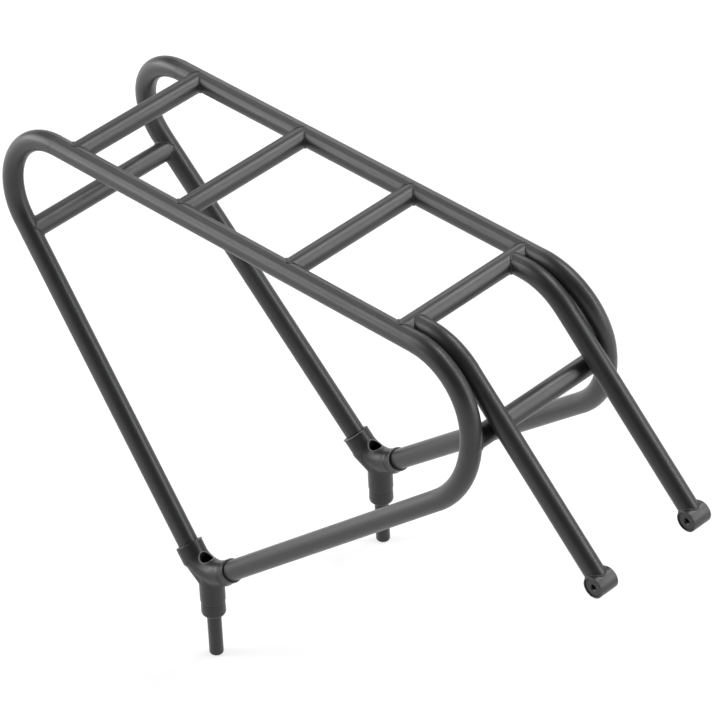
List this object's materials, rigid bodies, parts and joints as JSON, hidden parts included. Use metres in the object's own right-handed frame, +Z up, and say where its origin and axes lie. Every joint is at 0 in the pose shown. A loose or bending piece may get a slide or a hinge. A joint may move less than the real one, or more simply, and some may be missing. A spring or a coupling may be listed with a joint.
{
  "type": "bicycle rear carrier",
  "caption": "Welded tubular rear carrier with splayed side loops, a ladder platform, stays ending in threaded bosses, and cast lugs on locating pins.",
  "frame": {"origin": "midway between the axes of the two locating pins, on the plane of the collars' lower faces", "axes": "+X forward from the pins to the stays' bosses, +Y to the left side of the carrier, +Z up against the pins' direction"},
  "size_m": [0.6118, 0.2112, 0.4016],
  "materials": {
    "frame_paint": "satin dark grey powder coat on steel tube",
    "lug_paint": "satin dark grey powder coat on a steel casting, slightly coarser",
    "insert_paint": "dark coated turned steel insert, smoother than the tubes"
  },
  "bodies": {
    "root": {"left_side_loop": "frame_paint", "right_side_loop": "frame_paint", "rung_1": "frame_paint", "rung_2": "frame_paint", "rung_3": "frame_paint", "rung_4": "frame_paint", "rear_cross_tube": "frame_paint", "front_cross_tube": "frame_paint", "left_stay": "frame_paint", "right_stay": "frame_paint", "left_boss": "frame_paint", "right_boss": "frame_paint", "left_boss_insert": "insert_paint", "right_boss_insert": "insert_paint", "left_lug": "lug_paint", "right_lug": "lug_paint", "left_pin_collar": "lug_paint", "right_pin_collar": "lug_paint", "left_pin": "lug_paint", "right_pin": "lug_paint"}
  },
  "joints": []
}
